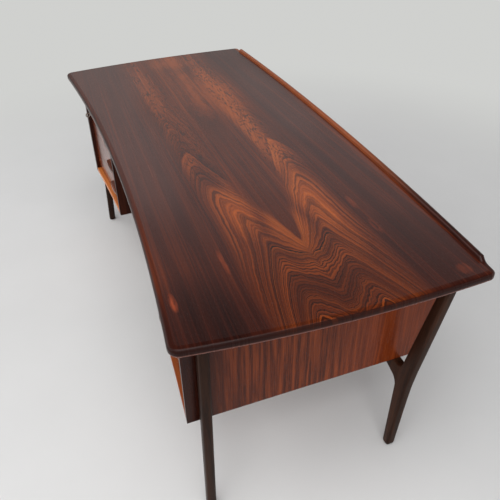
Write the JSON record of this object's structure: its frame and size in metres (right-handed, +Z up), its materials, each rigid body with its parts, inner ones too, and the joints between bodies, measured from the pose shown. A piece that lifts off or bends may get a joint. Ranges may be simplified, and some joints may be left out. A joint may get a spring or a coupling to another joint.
{
  "type": "executive desk",
  "caption": "Writing desk with a curved top and raised rear lip over two hung drawer pedestals, a kneehole, splayed front legs, forked rear legs and an open bookcase behind.",
  "frame": {"origin": "On the floor, at the middle of the desk's length and depth", "axes": "+Z up, -Y towards the person who sits at the desk, +X to that person's right along the desk's length"},
  "size_m": [1.8594, 0.8321, 0.7415],
  "materials": {
    "top_wood": "book-matched dark rosewood veneer under a clear gloss lacquer",
    "edging_wood": "solid rosewood with rounded arrises, gloss lacquer",
    "leg_wood": "solid dark rosewood, satin",
    "case_wood": "rosewood veneer with upright grain, gloss lacquer",
    "pull_wood": "carved solid rosewood, gloss lacquer",
    "light_wood": "light maple, waxed",
    "brass": "polished brass",
    "key_metal": "nickelled steel",
    "glide": "dark plastic glide"
  },
  "bodies": {
    "desk": {"top_board": "top_wood", "front_edging": "edging_wood", "left_edging": "edging_wood", "right_edging": "edging_wood", "rear_edging": "edging_wood", "left_front_leg": "leg_wood", "right_front_leg": "leg_wood", "left_rear_leg": "leg_wood", "right_rear_leg": "leg_wood", "leg_spacers": "leg_wood", "leg_glides": "glide", "left_outer_side": "case_wood", "right_outer_side": "case_wood", "left_inner_side": "case_wood", "right_inner_side": "case_wood", "left_bottom_board": "case_wood", "right_bottom_board": "case_wood", "left_top_panel": "case_wood", "right_top_panel": "case_wood", "left_divider": "case_wood", "right_divider": "case_wood", "middle_bottom_board": "case_wood", "middle_top_panel": "case_wood", "middle_back_panel": "case_wood", "middle_shelf": "case_wood", "front_rail": "leg_wood", "rear_rail": "leg_wood", "left_drawer_runners": "light_wood", "right_drawer_runners": "light_wood"},
    "left_top_drawer": {"left_top_drawer_front": "case_wood", "left_top_drawer_pull": "pull_wood", "left_top_drawer_box": "light_wood", "left_top_drawer_floor": "light_wood", "left_lock": "brass"},
    "left_middle_drawer": {"left_middle_drawer_front": "case_wood", "left_middle_drawer_pull": "pull_wood", "left_middle_drawer_box": "light_wood", "left_middle_drawer_floor": "light_wood"},
    "left_bottom_drawer": {"left_bottom_drawer_front": "case_wood", "left_bottom_drawer_pull": "pull_wood", "left_bottom_drawer_box": "light_wood", "left_bottom_drawer_floor": "light_wood"},
    "right_top_drawer": {"right_top_drawer_front": "case_wood", "right_top_drawer_pull": "pull_wood", "right_top_drawer_box": "light_wood", "right_top_drawer_floor": "light_wood", "right_lock": "brass"},
    "right_middle_drawer": {"right_middle_drawer_front": "case_wood", "right_middle_drawer_pull": "pull_wood", "right_middle_drawer_box": "light_wood", "right_middle_drawer_floor": "light_wood"},
    "right_bottom_drawer": {"right_bottom_drawer_front": "case_wood", "right_bottom_drawer_pull": "pull_wood", "right_bottom_drawer_box": "light_wood", "right_bottom_drawer_floor": "light_wood"},
    "key": {"key": "key_metal"}
  },
  "joints": [
    {"name": "left_top_drawer_slide", "type": "slide", "parent": "desk", "child": "left_top_drawer", "axis": [0, -1, 0], "range_m": [0, 0.3]},
    {"name": "left_middle_drawer_slide", "type": "slide", "parent": "desk", "child": "left_middle_drawer", "axis": [0, -1, 0], "range_m": [0, 0.3]},
    {"name": "left_bottom_drawer_slide", "type": "slide", "parent": "desk", "child": "left_bottom_drawer", "axis": [0, -1, 0], "range_m": [0, 0.3]},
    {"name": "right_top_drawer_slide", "type": "slide", "parent": "desk", "child": "right_top_drawer", "axis": [0, -1, 0], "range_m": [0, 0.3]},
    {"name": "right_middle_drawer_slide", "type": "slide", "parent": "desk", "child": "right_middle_drawer", "axis": [0, -1, 0], "range_m": [0, 0.3]},
    {"name": "right_bottom_drawer_slide", "type": "slide", "parent": "desk", "child": "right_bottom_drawer", "axis": [0, -1, 0], "range_m": [0, 0.3]},
    {"name": "key_turn", "type": "hinge", "parent": "left_top_drawer", "child": "key", "pos_m": [-0.707, -0.35401, 0.60133], "axis": [0.0851, -0.9964, 0], "range_deg": [0, 360]}
  ]
}
